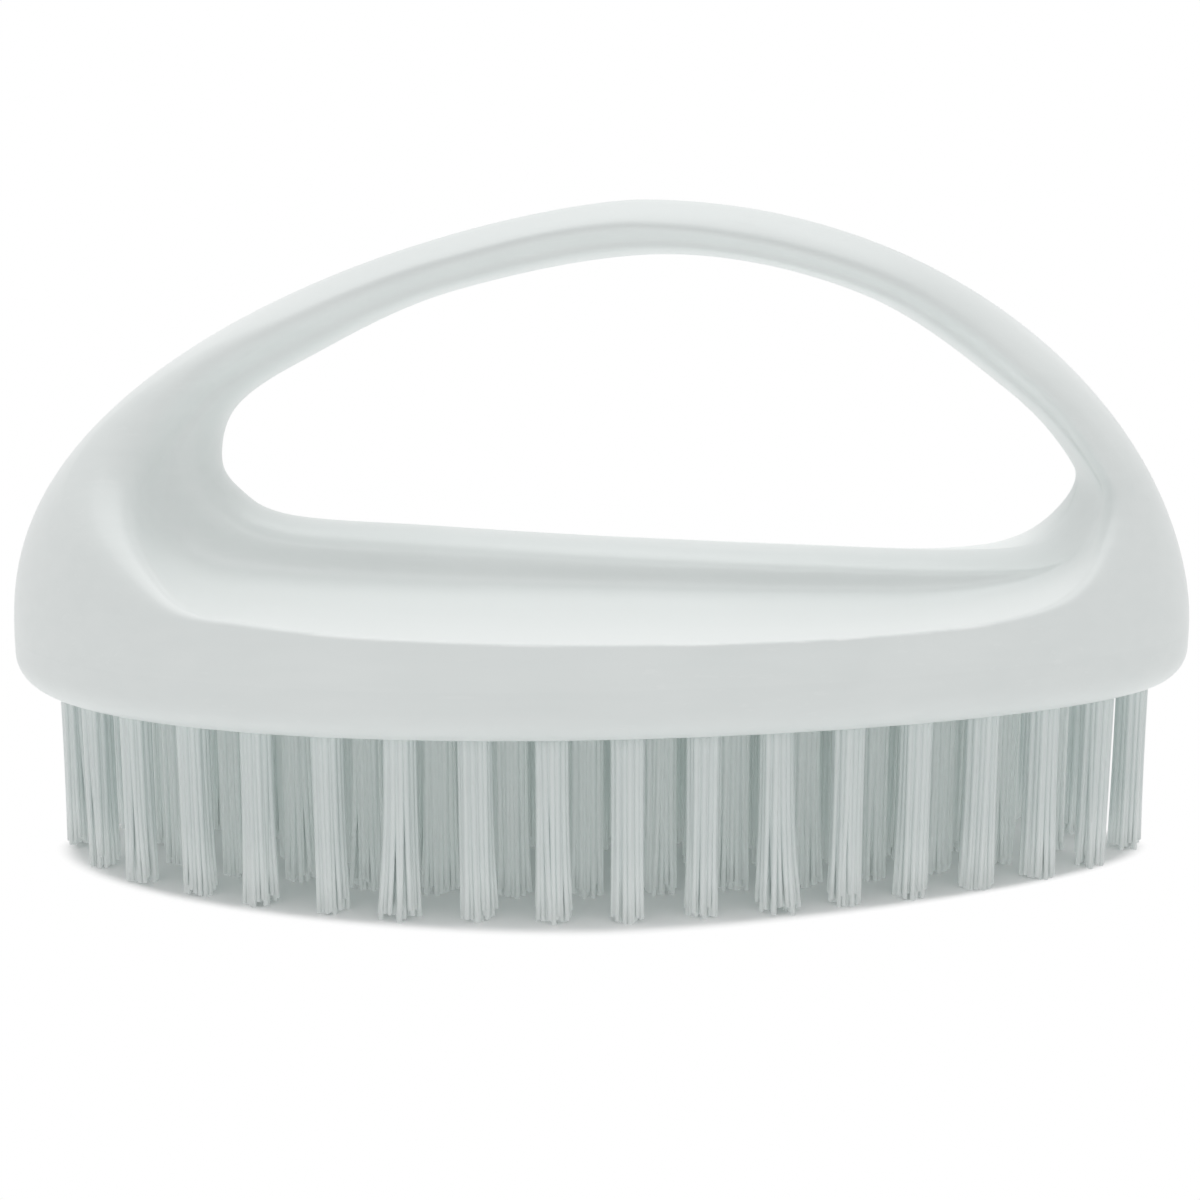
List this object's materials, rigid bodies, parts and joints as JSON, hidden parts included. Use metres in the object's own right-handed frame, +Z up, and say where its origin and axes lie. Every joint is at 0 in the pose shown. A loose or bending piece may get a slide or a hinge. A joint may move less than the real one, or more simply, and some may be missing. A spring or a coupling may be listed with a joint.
{
  "type": "nail brush",
  "caption": "Nail brush with an arched loop handle over an egg-shaped drilled plate, and rows of straight bristle tufts below, for scrubbing nails and hands",
  "frame": {"origin": "bottom centre of the bounding box, on the plane of the bristle tips", "axes": "+X along the brush to the end where the loop is slim and steep, +Y across it, +Z up from the bristle tips to the loop"},
  "size_m": [0.0952, 0.043, 0.053],
  "materials": {
    "handle_plastic": "satin",
    "plate_plastic": "satin",
    "bristle": "drawn filament"
  },
  "bodies": {
    "root": {"handle": "handle_plastic", "bristle_plate": "plate_plastic", "outer_tuft_row": "bristle", "second_tuft_row": "bristle", "third_tuft_row": "bristle", "middle_tuft_row": "bristle"}
  },
  "joints": []
}
